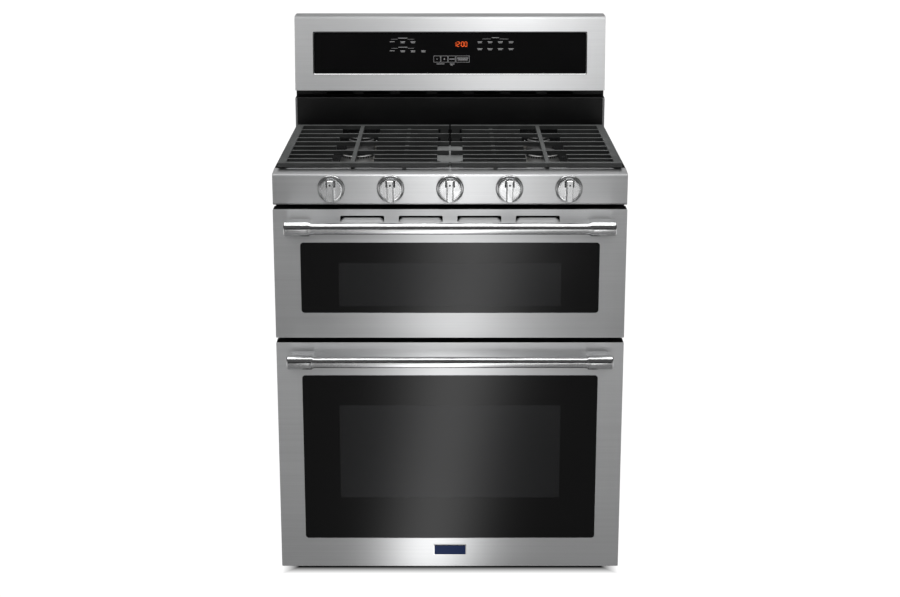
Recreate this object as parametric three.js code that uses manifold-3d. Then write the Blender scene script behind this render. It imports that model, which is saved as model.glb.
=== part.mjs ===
// Freestanding gas range with two ovens, in millimetres. +X is the user's right, +Y is towards the wall
// and +Z is up; the origin is on the floor, at the middle of the object's box.
import * as THREE from 'three';
import { mergeVertices } from 'three/addons/utils/BufferGeometryUtils.js';
import Module from 'manifold-3d';

const wasm = await Module();
wasm.setup();

// ---- driving dimensions ----
const WIDTH = 759; // across the doors, 29 7/8 in
const DEPTH = 735; // handle to wall, 28 15/16 in
const HEIGHT = 1190; // floor to top of the console, 46 7/8 in
const COOKTOP_Z = 921.5; // rim of the cooktop deck
const GRATE_Z = 936; // top of the grates
const GAP = 0.4; // between pieces that touch
const SHEET = 2; // gauge used for every pressed sheet

const HALF = WIDTH / 2;
const BACK_Y = DEPTH / 2;
const HANDLE_REACH = 63.5; // front of a handle in front of its door
const FACE_Y = HANDLE_REACH - DEPTH / 2; // front face of both doors
const DOOR_DEPTH = 48;
const DOOR_BACK_Y = FACE_Y + DOOR_DEPTH;
const FRAME_Y = DOOR_BACK_Y + 9; // front of the face frame; the seal fills the 9
const CABINET_BACK_Y = 358;
const BASE_Z = 28; // underside of the base pan
const DECK_UNDER_Z = 895; // underside of the cooktop deck's skirt
const HINGE_BEHIND_FACE = 20; // hinge axis behind the door's face

const upperDoor = {
  name: 'upper_door',
  bottom: 556,
  top: 842,
  hingeZ: 574,
  handleZ: 810,
  window: { half: 322.5, bottom: 612, top: 769 },
  innerWindow: { half: 243, bottom: 632, top: 742 },
  vents: true,
};
const lowerDoor = {
  name: 'lower_door',
  bottom: 18,
  top: 545,
  hingeZ: 92,
  handleZ: 514.5,
  window: { half: 324.5, bottom: 86, top: 470 },
  innerWindow: { half: 247, bottom: 183, top: 381 },
  vents: false,
};
const cavity = { half: 315, front: FRAME_Y + 3 + GAP, back: 250, corner: 22 };
const upperOven = { floor: 612, ceiling: 800, ledges: [651, 712], rackZ: 655 };
const lowerOven = { floor: 136, ceiling: 490, ledges: [226, 296, 366], rackZ: 230 };

const STEEL = { color: 0xb4b5b6, roughness: 0.32, metalness: 1 };
const CHROME = { color: 0xdcdddf, roughness: 0.12, metalness: 1 };
const ENAMEL = { color: 0x111213, roughness: 0.25, metalness: 0 };
const CAST_IRON = { color: 0x2b2d2d, roughness: 0.5, metalness: 0.2 };
const OVEN_ENAMEL = { color: 0x24262b, roughness: 0.3, metalness: 0 };
const GALVANISED = { color: 0x8f9396, roughness: 0.5, metalness: 0.9 };
const GLASS = { color: 0x0c0d0e, roughness: 0.05, metalness: 0 };
const ALUMINIUM = { color: 0xb9bab8, roughness: 0.4, metalness: 1 };
const BRASS = { color: 0xb08a4a, roughness: 0.35, metalness: 1 };
const PAINT = { color: 0x3a3b3d, roughness: 0.45, metalness: 0.1 };
const SATIN_GREY = { color: 0x7c807f, roughness: 0.45, metalness: 0.3 };

const range = new THREE.Group();

// ---- making and placing solids ----
function addPart(name, geometry, finish) {
  const mesh = new THREE.Mesh(geometry, new THREE.MeshStandardMaterial(finish));
  mesh.name = name;
  range.add(mesh);
}

function solid(geometry) {
  const bare = geometry.index ? geometry.toNonIndexed() : geometry.clone();
  bare.deleteAttribute('normal');
  bare.deleteAttribute('uv');
  const merged = mergeVertices(bare, 1e-4);
  const mesh = new wasm.Mesh({
    numProp: 3,
    vertProperties: merged.attributes.position.array,
    triVerts: new Uint32Array(merged.index.array),
  });
  return new wasm.Manifold(mesh);
}

function geometryOf(body) {
  const mesh = body.getMesh();
  const geometry = new THREE.BufferGeometry();
  geometry.setAttribute('position', new THREE.BufferAttribute(mesh.vertProperties, 3));
  geometry.setIndex(new THREE.BufferAttribute(mesh.triVerts, 1));
  return geometry;
}

function join(...geometries) {
  return geometryOf(geometries.map(solid).reduce((whole, piece) => whole.add(piece)));
}

function cut(geometry, ...tools) {
  return geometryOf(tools.map(solid).reduce((rest, tool) => rest.subtract(tool), solid(geometry)));
}

function box(x0, x1, y0, y1, z0, z1) {
  const geometry = new THREE.BoxGeometry(x1 - x0, y1 - y0, z1 - z0);
  return geometry.translate((x0 + x1) / 2, (y0 + y1) / 2, (z0 + z1) / 2);
}

// The pair of boxes that stand at +x and -x.
function mirroredBoxes(x0, x1, ...rest) {
  return [box(x0, x1, ...rest), box(-x1, -x0, ...rest)];
}

function rectangle(half, bottom, top, radius) {
  const shape = new THREE.Shape();
  shape.moveTo(half, bottom + radius);
  shape.absarc(half - radius, top - radius, radius, 0, Math.PI / 2);
  shape.absarc(radius - half, top - radius, radius, Math.PI / 2, Math.PI);
  shape.absarc(radius - half, bottom + radius, radius, Math.PI, 1.5 * Math.PI);
  shape.absarc(half - radius, bottom + radius, radius, 1.5 * Math.PI, 2 * Math.PI);
  return shape;
}

function circle(x, y, radius) {
  return new THREE.Shape().absarc(x, y, radius, 0, 2 * Math.PI);
}

function extruded(shape, length, curveSegments) {
  return new THREE.ExtrudeGeometry(shape, { depth: length, bevelEnabled: false, curveSegments });
}

// A shape drawn in x and z, made solid from y0 to y1.
function alongY(shape, y0, y1, segments = 3) {
  return extruded(shape, y1 - y0, segments).rotateX(Math.PI / 2).translate(0, y1, 0);
}

// A shape drawn in y and z, made solid from x0 to x1.
function alongX(shape, x0, x1, segments = 4) {
  const turn = new THREE.Matrix4().makeBasis(
    new THREE.Vector3(0, 1, 0),
    new THREE.Vector3(0, 0, 1),
    new THREE.Vector3(1, 0, 0),
  );
  return extruded(shape, x1 - x0, segments).applyMatrix4(turn).translate(x0, 0, 0);
}

// A shape drawn in x and y, made solid from z0 to z1.
function alongZ(shape, z0, z1, segments = 4) {
  return extruded(shape, z1 - z0, segments).translate(0, 0, z0);
}

function polygon(points) {
  return new THREE.Shape(points.map(([u, v]) => new THREE.Vector2(u, v)));
}

function rodX(radius, x0, x1, y, z, sides = 20) {
  const rod = new THREE.CylinderGeometry(radius, radius, x1 - x0, sides).rotateZ(Math.PI / 2);
  return rod.translate((x0 + x1) / 2, y, z);
}

function rodY(radius, y0, y1, x, z, sides = 20) {
  return new THREE.CylinderGeometry(radius, radius, y1 - y0, sides).translate(x, (y0 + y1) / 2, z);
}

function rodZ(radius, z0, z1, x, y, sides = 20) {
  const rod = new THREE.CylinderGeometry(radius, radius, z1 - z0, sides).rotateX(Math.PI / 2);
  return rod.translate(x, y, (z0 + z1) / 2);
}

// A profile of [radius, height] points turned about a vertical line.
function turned(profile, x, y, sides) {
  const points = profile.map(([radius, height]) => new THREE.Vector2(radius, height));
  return new THREE.LatheGeometry(points, sides).rotateX(Math.PI / 2).translate(x, y, 0);
}

// ---- cabinet ----
const TOE_Y = FACE_Y + 106; // the toe board, behind the sweep of the lower door's foot
const TOE_TOP_Z = 122;
const SIDE_X = HALF - 1.5; // outer face of the side panels
const BASE_X = SIDE_X - SHEET - GAP;
const legPlaces = [
  ['leg_front_left', -330, TOE_Y + 40],
  ['leg_front_right', 330, TOE_Y + 40],
  ['leg_rear_left', -330, 320],
  ['leg_rear_right', 330, 320],
];
const LEG_STUD = 5;

function addBase() {
  const pan = cut(
    join(
      box(-BASE_X, BASE_X, TOE_Y, CABINET_BACK_Y, BASE_Z, 68),
      box(-BASE_X, BASE_X, TOE_Y, TOE_Y + SHEET, BASE_Z, TOE_TOP_Z),
    ),
    box(SHEET - BASE_X, BASE_X - SHEET, TOE_Y + SHEET, CABINET_BACK_Y - SHEET, BASE_Z + SHEET, 70),
    ...legPlaces.map(([, x, y]) => rodZ(LEG_STUD + 0.6, BASE_Z - 1, BASE_Z + 4, x, y, 16)),
  );
  addPart('base_frame', pan, GALVANISED);
  const foot = [[0, 0], [18, 0], [18, 8], [11, 14], [11, 22], [LEG_STUD, 22], [LEG_STUD, 52], [0, 52]];
  for (const [name, x, y] of legPlaces) {
    addPart(name, turned(foot, x, y, 12), PAINT);
  }
}

function addSidePanel(name, x0) {
  const outline = polygon([
    [TOE_Y, BASE_Z],
    [CABINET_BACK_Y, BASE_Z],
    [CABINET_BACK_Y, DECK_UNDER_Z - GAP],
    [FRAME_Y, DECK_UNDER_Z - GAP],
    [FRAME_Y, TOE_TOP_Z],
    [TOE_Y, TOE_TOP_Z],
  ]);
  addPart(name, alongX(outline, x0, x0 + SHEET), PAINT);
}

const gasInlet = { x: 348, z: 110 };

function addBackPanel() {
  const front = CABINET_BACK_Y + GAP;
  const sheet = box(-SIDE_X, SIDE_X, front, front + SHEET, BASE_Z, DECK_UNDER_Z - GAP);
  const pipeHole = rodY(16, CABINET_BACK_Y - 2, CABINET_BACK_Y + 6, gasInlet.x, gasInlet.z, 20);
  const ventSlots = [-2, -1, 0, 1, 2].map((i) =>
    box(i * 110 - 40, i * 110 + 40, CABINET_BACK_Y - 2, CABINET_BACK_Y + 6, 850, 858),
  );
  addPart('back_panel', cut(sheet, pipeHole, ...ventSlots), GALVANISED);
}

// ---- hinges ----
const HINGE_X = 348;
const HINGE_ARM_T = 8;
const HINGE_SLOT = 14;
const HINGE_Y = FACE_Y + HINGE_BEHIND_FACE;
const ARM_RISE = 45; // the arm enters the frame this far above its pin
const PIN_R = 4;

// The opening that a hinge arm needs through a door's back or the face frame.
function hingeSlot(side, y0, y1, z0, z1) {
  const x = side * HINGE_X;
  return box(x - HINGE_SLOT / 2, x + HINGE_SLOT / 2, y0, y1, z0, z1);
}

function addHingeArm(door, sideName, side) {
  const x = side * HINGE_X;
  const z = door.hingeZ;
  const strap = polygon([
    [HINGE_Y - 6, z - 7],
    [HINGE_Y + 7, z - 6],
    [HINGE_Y + 34, z + ARM_RISE - 8],
    [FRAME_Y + 30, z + ARM_RISE - 8],
    [FRAME_Y + 30, z + ARM_RISE + 7],
    [HINGE_Y + 24, z + ARM_RISE + 7],
    [HINGE_Y - 7, z + 5],
  ]);
  const arm = alongX(strap, x - HINGE_ARM_T / 2, x + HINGE_ARM_T / 2);
  const pin = rodX(PIN_R, x - 13, x + 13, HINGE_Y, z, 12);
  const notch = box(x - 6, x + 6, FRAME_Y + 5, FRAME_Y + 12, z + ARM_RISE - 10, z + ARM_RISE - 2);
  addPart(`${door.name}_hinge_${sideName}`, cut(join(arm, pin), notch), GALVANISED);
}

// ---- face frame and ovens ----
function addFaceFrame() {
  const outline = rectangle(SIDE_X - SHEET - GAP, TOE_TOP_Z, 846, 1);
  for (const oven of [upperOven, lowerOven]) {
    outline.holes.push(rectangle(cavity.half, oven.floor, oven.ceiling, cavity.corner));
  }
  const slots = [upperDoor, lowerDoor].flatMap((door) =>
    [-1, 1].map((side) =>
      hingeSlot(side, FRAME_Y - 1, FRAME_Y + 4, door.hingeZ + ARM_RISE - 11, door.hingeZ + ARM_RISE + 10),
    ),
  );
  addPart('face_frame', cut(alongY(outline, FRAME_Y, FRAME_Y + 3), ...slots), PAINT);
}

function addOvenLiner(name, oven) {
  const { half, front, back, corner } = cavity;
  const outer = rectangle(half + SHEET, oven.floor - SHEET, oven.ceiling + SHEET, corner + SHEET);
  const inner = rectangle(half, oven.floor, oven.ceiling, corner);
  const shell = cut(alongY(outer, front, back + SHEET), alongY(inner, front - 1, back));
  const ledges = oven.ledges.flatMap((z) =>
    mirroredBoxes(half - 12, half + 1, front + 14, back - 12, z - 4, z),
  );
  addPart(name, join(shell, ...ledges), OVEN_ENAMEL);
}

// Wire rack: a border of thick rods with thinner wires from front to back.
function addRack(name, z) {
  const half = cavity.half - 4;
  const front = FRAME_Y + 9;
  const back = cavity.back - 20;
  const ROD = 7;
  const WIRE = 5;
  const WIRES = 14;
  const z0 = z - ROD / 2;
  const z1 = z + ROD / 2;
  const border = [
    ...mirroredBoxes(half - ROD, half, front, back, z0, z1),
    box(-half, half, front, front + ROD, z0, z1),
    box(-half, half, back - ROD, back, z0, z1),
    box(-half, half, 10, 10 + ROD, z0, z1),
  ];
  const pitch = (2 * half) / (WIRES + 1);
  const wires = Array.from({ length: WIRES }, (_, i) => {
    const x = -half + pitch * (i + 1);
    return box(x - WIRE / 2, x + WIRE / 2, front + 1, back - 1, z - WIRE / 2 + 0.5, z + WIRE / 2 + 0.5);
  });
  addPart(name, join(...border, ...wires), CHROME);
}

// A pressed gas burner in a U that is open towards the back.
function addPressedBurner(name, half, width, front, back, z, thickness, finish) {
  const corner = 46;
  const shape = new THREE.Shape();
  shape.moveTo(-half, back);
  shape.lineTo(-half, front + corner);
  shape.absarc(corner - half, front + corner, corner, Math.PI, 1.5 * Math.PI);
  shape.absarc(half - corner, front + corner, corner, 1.5 * Math.PI, 2 * Math.PI);
  shape.lineTo(half, back);
  shape.lineTo(half - width, back);
  shape.absarc(half - corner, front + corner, corner - width, 0, -0.5 * Math.PI, true);
  shape.absarc(corner - half, front + corner, corner - width, 1.5 * Math.PI, Math.PI, true);
  shape.lineTo(width - half, back);
  addPart(name, alongZ(shape, z - thickness / 2, z + thickness / 2, 4), finish);
}

// ---- doors ----
const SKIN = 1.5; // gauge of the stainless skins
const GLASS_T = 4;
const SKIN_RETURN = 36; // depth of a skin's side returns
const VENT_PITCH = 125.4;

function ventSlotShapes() {
  return [-1.5, -0.5, 0.5, 1.5].map((i) => {
    const slot = rectangle(47, 813, 828, 3);
    return alongY(slot, FACE_Y - 1, FACE_Y + 12, 2).translate(i * VENT_PITCH, 0, 0);
  });
}

function addDoorSkin(door) {
  const { bottom, top, window } = door;
  const sheet = rectangle(HALF, bottom, top, 2);
  const pan = cut(
    alongY(sheet, FACE_Y, FACE_Y + SKIN_RETURN, 2),
    box(SKIN - HALF, HALF - SKIN, FACE_Y + SKIN, FACE_Y + SKIN_RETURN + 1, bottom + SKIN, top - SKIN),
    alongY(rectangle(window.half, window.bottom, window.top, 7), FACE_Y - 1, FACE_Y + 5),
    ...(door.vents ? ventSlotShapes() : []),
    ...[-1, 1].map((side) =>
      hingeSlot(side, HINGE_Y - 12, DOOR_BACK_Y, door.hingeZ - 20, door.hingeZ + 62),
    ),
  );
  addPart(`${door.name}_skin`, pan, STEEL);
}

function addDoorGlass(door) {
  const lap = 12;
  const { window } = door;
  const pane = rectangle(window.half + lap, window.bottom - lap, window.top + lap, 8);
  const y = FACE_Y + SKIN + GAP;
  addPart(`${door.name}_glass`, alongY(pane, y, y + GLASS_T), GLASS);
}

// Inner half of a door: a pan that nests in the skin, with a tunnel to the inner window, and the
// cheeks that the hinge pins turn in.
function addDoorLiner(door) {
  const inset = SKIN + GAP;
  const { bottom, top, innerWindow, hingeZ } = door;
  const front = FACE_Y + SKIN + GLASS_T + 2 * GAP;
  const outline = rectangle(HALF - inset, bottom + inset, top - inset, 2);
  const pan = cut(
    alongY(outline, front, DOOR_BACK_Y, 2),
    box(inset + SHEET - HALF, HALF - inset - SHEET, front - 1, DOOR_BACK_Y - SHEET,
      bottom + inset + SHEET, top - inset - SHEET),
  );
  const { half, bottom: low, top: high } = innerWindow;
  const tunnel = alongY(rectangle(half + SHEET, low - SHEET, high + SHEET, 8), front, DOOR_BACK_Y - 0.5);
  const opening = alongY(rectangle(half, low, high, 6), front - 1, DOOR_BACK_Y + 1);
  const cheeks = [-1, 1].flatMap((side) => {
    const x = side * HINGE_X;
    const inner = HINGE_SLOT / 2;
    const at = (x0, x1) => box(x0, x1, HINGE_Y - 9, DOOR_BACK_Y - 0.5, hingeZ - 12, hingeZ + 14);
    return [at(x + inner, x + inner + 8), at(x - inner - 8, x - inner)];
  });
  const slots = [-1, 1].map((side) =>
    hingeSlot(side, HINGE_Y - 12, DOOR_BACK_Y + 1, hingeZ - 36, hingeZ + 62),
  );
  const pinHoles = [-1, 1].map((side) =>
    rodX(PIN_R + 0.6, side * HINGE_X - 17, side * HINGE_X + 17, HINGE_Y, hingeZ, 12),
  );
  const liner = cut(join(pan, tunnel, ...cheeks), opening, ...slots, ...pinHoles);
  addPart(`${door.name}_liner`, liner, OVEN_ENAMEL);
}

// Bar handle: a round bar between two thicker end castings, each on a post.
const BAR_R = 12;
const CAP_R = 15.5;
const BAR_Y = FACE_Y - HANDLE_REACH + CAP_R;
const HANDLE_END_X = 352;

function addHandle(door) {
  const z = door.handleZ;
  const bar = rodX(BAR_R, -300, 300, BAR_Y, z, 24);
  const profile = [[0, -352], [13, -352], [CAP_R, -350], [CAP_R, -304], [BAR_R, -292], [0, -292]];
  const cap = turned(profile, 0, 0, 24).rotateY(Math.PI / 2).translate(0, BAR_Y, z);
  const otherCap = cap.clone().rotateZ(Math.PI).translate(0, 2 * BAR_Y, 0);
  const posts = mirroredBoxes(298, HANDLE_END_X - 7, BAR_Y, FACE_Y - GAP, z - 11, z + 11);
  addPart(`${door.name}_handle`, join(bar, cap, otherCap, ...posts), CHROME);
}

// ---- control panel, gas manifold and knobs ----
const PANEL_Y = FACE_Y + 6;
const PANEL_BOTTOM_Z = 850;
const PANEL_LIP_Z = 917.5;
const PANEL_BACK_Y = FACE_Y + 56; // where the panel's top meets the deck
const KNOB_PITCH = 127;
const KNOB_Z = 886;
const KNOB_X = [-2, -1, 0, 1, 2].map((i) => i * KNOB_PITCH);
const STEM_R = 4;

function panelOutline(offset) {
  const y = PANEL_Y + offset;
  const low = PANEL_BOTTOM_Z + offset;
  const lip = PANEL_LIP_Z - offset;
  const end = PANEL_BACK_Y + (offset ? 1 : 0);
  const radius = 5 - offset;
  const shape = new THREE.Shape();
  shape.moveTo(end, low);
  shape.lineTo(end, COOKTOP_Z - offset);
  shape.lineTo(y + radius, lip);
  shape.absarc(y + radius, lip - radius, radius, Math.PI / 2, Math.PI);
  shape.absarc(y + radius, low + radius, radius, Math.PI, 1.5 * Math.PI);
  return shape;
}

function addControlPanel() {
  const stemHoles = KNOB_X.map((x) => rodY(9, PANEL_Y - 1, PANEL_Y + 6, x, KNOB_Z, 12));
  const shell = cut(
    alongX(panelOutline(0), -HALF, HALF),
    alongX(panelOutline(SHEET), SHEET - HALF, HALF - SHEET),
    ...stemHoles,
  );
  addPart('control_panel', shell, STEEL);
}

const MANIFOLD_Y = FACE_Y + 44;
const VALVE_FRONT_Y = FACE_Y + 19;

// The supply pipe along the front with a valve at each knob, and its run back to the wall.
function addManifold() {
  const r = 9;
  const { x, z } = gasInlet;
  const runZ = 866;
  const dropY = CABINET_BACK_Y - 26;
  const elbow = (y, height) => box(x - 12, x + 12, y - 12, y + 12, height - 12, height + 12);
  const pipes = [
    rodX(r, -300, x, MANIFOLD_Y, KNOB_Z, 12),
    rodZ(r, runZ, KNOB_Z, x, MANIFOLD_Y, 12),
    rodY(r, MANIFOLD_Y, dropY, x, runZ, 12),
    rodZ(r, z, runZ, x, dropY, 12),
    rodY(r + 2, dropY, BACK_Y - 3, x, z, 12),
    elbow(MANIFOLD_Y, KNOB_Z - 4),
    elbow(MANIFOLD_Y, runZ),
    elbow(dropY, runZ),
    elbow(dropY, z),
  ];
  const valves = KNOB_X.flatMap((kx) => [
    box(kx - 12, kx + 12, VALVE_FRONT_Y, MANIFOLD_Y, KNOB_Z - 14, KNOB_Z + 13),
    box(kx - 18, kx + 18, VALVE_FRONT_Y, VALVE_FRONT_Y + 5, KNOB_Z - 17, KNOB_Z + 17),
  ]);
  const bores = KNOB_X.map((kx) =>
    rodY(STEM_R + 0.6, VALVE_FRONT_Y - 1, VALVE_FRONT_Y + 20, kx, KNOB_Z, 12),
  );
  addPart('gas_manifold', cut(join(...pipes, ...valves), ...bores), BRASS);
}

function addKnobSet(index, x) {
  const number = index + 1;
  const ringOuter = 30;
  const ringInner = 27;
  const ring = [[ringInner, 0], [ringOuter, 0], [ringOuter - 0.8, 5], [ringInner + 0.6, 6], [ringInner, 0]];
  const bezel = turned(ring, 0, 0, 24).rotateX(Math.PI / 2).translate(x, PANEL_Y - GAP, KNOB_Z);
  addPart(`knob_bezel_${number}`, bezel, CHROME);

  const back = PANEL_Y - 5.5;
  const front = PANEL_Y - 36;
  const stemFront = back - 16;
  const stem = rodY(STEM_R, stemFront, VALVE_FRONT_Y + 14, x, KNOB_Z, 12);
  addPart(`valve_stem_${number}`, stem, ALUMINIUM);

  const disc = [[0, 0], [25.5, 0], [25.5, 6], [23, 8.5], [0, 7]];
  const skirt = turned(disc, 0, 0, 24).rotateX(Math.PI / 2).translate(x, back, KNOB_Z);
  const blade = alongY(rectangle(7.6, -24.5, 24.5, 5), front, back - 3, 2).translate(x, 0, KNOB_Z);
  const bore = rodY(STEM_R + 0.5, stemFront - 0.5, back + 1, x, KNOB_Z, 12);
  addPart(`knob_${number}`, cut(join(skirt, blade), bore), CHROME);
}

// ---- cooktop ----
const WELL_Z = 897;
const DECK_Y0 = PANEL_BACK_Y + GAP;
const DECK_Y1 = BACK_Y - 6;
const WELL_BACK_Y = FACE_Y + 560;
const BAR_ROWS = [41.5, 88, 136, 187, 241, 299, 352, 408, 464, 528]; // from the doors' face, front to back
const LONG_ROWS = [3, 5, 7];
const rowY = (row) => FACE_Y + BAR_ROWS[row];
const BURNER_X = 210;
const FRONT_BURNER_Y = FACE_Y + 250;
const REAR_BURNER_Y = FACE_Y + 442;
const burners = [
  { name: 'front_left', x: -BURNER_X, y: FRONT_BURNER_Y, radius: 31 },
  { name: 'rear_left', x: -BURNER_X, y: REAR_BURNER_Y, radius: 27 },
  { name: 'front_right', x: BURNER_X, y: FRONT_BURNER_Y, radius: 31 },
  { name: 'rear_right', x: BURNER_X, y: REAR_BURNER_Y, radius: 24 },
];
const oval = { y: FACE_Y + 203, half: 76, radius: 31 }; // half: to the centre of each round end
const THROAT_R = 17;

function addDeck() {
  const slab = box(1 - HALF, HALF - 1, DECK_Y0, DECK_Y1, DECK_UNDER_Z, COOKTOP_Z);
  const well = alongZ(rectangle(356, DECK_Y0 + 18, WELL_BACK_Y, 24), WELL_Z + SHEET, COOKTOP_Z + 1);
  const throats = [...burners, { x: 0, y: oval.y }].map(({ x, y }) =>
    rodZ(THROAT_R + 1, WELL_Z - 6, WELL_Z + 6, x, y, 16),
  );
  const below = [
    box(5 - HALF, HALF - 5, DECK_Y0 + 4, DECK_Y1 - 4, DECK_UNDER_Z - 1, WELL_Z),
    box(5 - HALF, HALF - 5, WELL_BACK_Y + SHEET, DECK_Y1 - 4, DECK_UNDER_Z - 1, COOKTOP_Z - SHEET),
  ];
  addPart('cooktop_deck', cut(slab, well, ...throats, ...below), ENAMEL);
}

const HEAD_Z = WELL_Z + SHEET + GAP;
const CAP_Z = 919;
const CAP_TOP_Z = 926;

function addBurner({ name, x, y, radius }) {
  const bore = THROAT_R - 5;
  const head = [
    [bore, HEAD_Z - 24],
    [THROAT_R, HEAD_Z - 24],
    [THROAT_R, HEAD_Z],
    [radius + 9, HEAD_Z],
    [radius + 3, CAP_Z - 9],
    [radius + 3, CAP_Z - 3],
    [radius - 2, CAP_Z - GAP],
    [0, CAP_Z - GAP],
    [0, CAP_Z - 6],
    [bore, CAP_Z - 6],
    [bore, HEAD_Z - 24],
  ];
  addPart(`burner_head_${name}`, turned(head, x, y, 18), ALUMINIUM);
  const dome = [[0, CAP_Z], [radius, CAP_Z], [radius, CAP_Z + 3], [radius - 5, CAP_TOP_Z], [0, CAP_TOP_Z]];
  addPart(`burner_cap_${name}`, turned(dome, x, y, 20), CAST_IRON);
}

// A straight-sided oval that runs from front to back.
function ovalShape(radius) {
  const shape = new THREE.Shape();
  shape.absarc(0, oval.y + oval.half, radius, 0, Math.PI);
  shape.absarc(0, oval.y - oval.half, radius, Math.PI, 2 * Math.PI);
  return shape;
}

function addOvalBurner() {
  const r = oval.radius;
  const head = cut(
    join(
      alongZ(ovalShape(r + 4), HEAD_Z, HEAD_Z + 4, 8),
      alongZ(ovalShape(r - 2), HEAD_Z + 1, CAP_Z - GAP, 8),
      rodZ(THROAT_R, HEAD_Z - 24, HEAD_Z + 2, 0, oval.y, 16),
    ),
    rodZ(THROAT_R - 5, HEAD_Z - 25, CAP_Z - 6, 0, oval.y, 16),
  );
  addPart('burner_head_centre', head, ALUMINIUM);
  const cap = join(
    alongZ(ovalShape(r), CAP_Z, CAP_Z + 4, 8),
    alongZ(ovalShape(r - 2), CAP_Z + 3, CAP_TOP_Z, 8),
  );
  addPart('burner_cap_centre', cap, SATIN_GREY);
}

// ---- grates ----
const GRATE_HEIGHT = 9;
const RIM_W = 17;
const BAR_W = 9.5;
const SPINE_W = 8.8; // the bars that run from front to back
const TIE_X = 98;
const GRATE_INNER_X = 2;
const GRATE_OUTER_X = 370;

// side is 1 for the right-hand grate and -1 for its mirror image.
function addGrate(name, side) {
  const top = GRATE_Z;
  const low = GRATE_Z - GRATE_HEIGHT;
  const front = rowY(0) - RIM_W / 2;
  const back = rowY(9) + RIM_W / 2;
  const ends = [GRATE_INNER_X, GRATE_OUTER_X];
  const span = ([x0, x1], y0, y1, z0, z1) =>
    box(side > 0 ? x0 : -x1, side > 0 ? x1 : -x0, y0, y1, z0, z1);
  const spine = (x) => [x - SPINE_W / 2, x + SPINE_W / 2];
  const pieces = [
    span([GRATE_OUTER_X - RIM_W, GRATE_OUTER_X], front, back, low, top),
    span(ends, front, front + RIM_W, low, top),
    span(ends, back - RIM_W, back, low, top),
    span(spine(BURNER_X), front + 1, back - 1, low, top),
    span(spine(TIE_X), front + 1, back - 1, low - 4, low + 2),
  ];
  for (let row = 1; row <= 8; row += 1) {
    const [y0, y1] = [rowY(row) - BAR_W / 2, rowY(row) + BAR_W / 2];
    if (LONG_ROWS.includes(row)) {
      pieces.push(span([GRATE_INNER_X, GRATE_OUTER_X - 1], y0, y1, low, top));
    } else {
      pieces.push(span([BURNER_X + 46, GRATE_OUTER_X - 1], y0, y1, low, top));
      pieces.push(span([28, BURNER_X - 44], y0, y1, low, top));
    }
  }
  const footFront = [DECK_Y0 + 3, DECK_Y0 + 15];
  const onRim = COOKTOP_Z + GAP;
  const onFloor = WELL_Z + SHEET + GAP;
  pieces.push(
    span([GRATE_OUTER_X - 13, GRATE_OUTER_X - 1], ...footFront, onRim, low + 1),
    span(spine(BURNER_X), ...footFront, onRim, low + 1),
    span([GRATE_OUTER_X - 13, GRATE_OUTER_X - 1], back - 15, back - 1, onRim, low + 1),
    span([GRATE_INNER_X + 2, GRATE_INNER_X + 21], back - RIM_W, back - 1, onFloor, low + 1),
  );
  addPart(name, join(...pieces), CAST_IRON);
}

// ---- console at the back ----
const CONSOLE_X = 377;
const CONSOLE_TILT = THREE.MathUtils.degToRad(6.5);
const consoleLow = { y: FACE_Y + 584, z: 1012 };
const CONSOLE_TOP_Z = HEIGHT;
const consoleGlass = { half: 331, low: 40, high: 140, thickness: 4 }; // measured up the slope

function slope(up) {
  return [consoleLow.y + up * Math.sin(CONSOLE_TILT), consoleLow.z + up * Math.cos(CONSOLE_TILT)];
}

function consoleOutline(offset) {
  const [topY] = slope((CONSOLE_TOP_Z - 6 - consoleLow.z) / Math.cos(CONSOLE_TILT));
  return polygon([
    [consoleLow.y + offset, consoleLow.z + offset],
    [BACK_Y - offset, consoleLow.z + offset],
    [BACK_Y - offset, CONSOLE_TOP_Z - offset],
    [topY + 9 + offset / 2, CONSOLE_TOP_Z - offset],
    [topY + 3 + offset, CONSOLE_TOP_Z - 2 - offset],
    [topY + offset, CONSOLE_TOP_Z - 7 - offset],
  ]);
}

// Moves a solid drawn flat against the plane y = 0, with z measured up the slope, onto the console.
function onSlope(geometry) {
  return geometry.rotateX(-CONSOLE_TILT).translate(0, consoleLow.y, consoleLow.z);
}

function addConsole() {
  const { half, low, high, thickness } = consoleGlass;
  const opening = onSlope(alongY(rectangle(half, low, high, 3), -8, 12));
  const shell = cut(
    alongX(consoleOutline(0), -CONSOLE_X, CONSOLE_X),
    alongX(consoleOutline(SHEET), SHEET - CONSOLE_X, CONSOLE_X - SHEET),
    opening,
  );
  addPart('console_housing', shell, STEEL);
  const pane = alongY(rectangle(half - 0.6, low + 0.6, high - 0.6, 2.5), 0.6, 0.6 + thickness);
  addPart('control_glass', onSlope(pane), GLASS);
}

function addRiser() {
  const y0 = FACE_Y + 582;
  const y1 = BACK_Y - 3;
  const ledgeZ = 995;
  const stepY = y0 + 34;
  const top = consoleLow.z - GAP - 0.5;
  const foot = COOKTOP_Z + GAP;
  const outline = (t) => polygon([
    [y0 + t, foot - (t ? 1 : 0)],
    [y1 - t, foot - (t ? 1 : 0)],
    [y1 - t, top - t],
    [stepY + t, top - t],
    [stepY + t, ledgeZ - t],
    [y0 + t, ledgeZ - t],
  ]);
  const vents = [-3, -2, -1, 0, 1, 2, 3].map((i) =>
    box(i * 90 - 32, i * 90 + 32, stepY - 1, stepY + 3, 999, 1005),
  );
  const shell = cut(
    alongX(outline(0), -CONSOLE_X, CONSOLE_X),
    alongX(outline(SHEET), SHEET - CONSOLE_X, CONSOLE_X - SHEET),
    ...vents,
  );
  addPart('console_riser', shell, ENAMEL);
}

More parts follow.
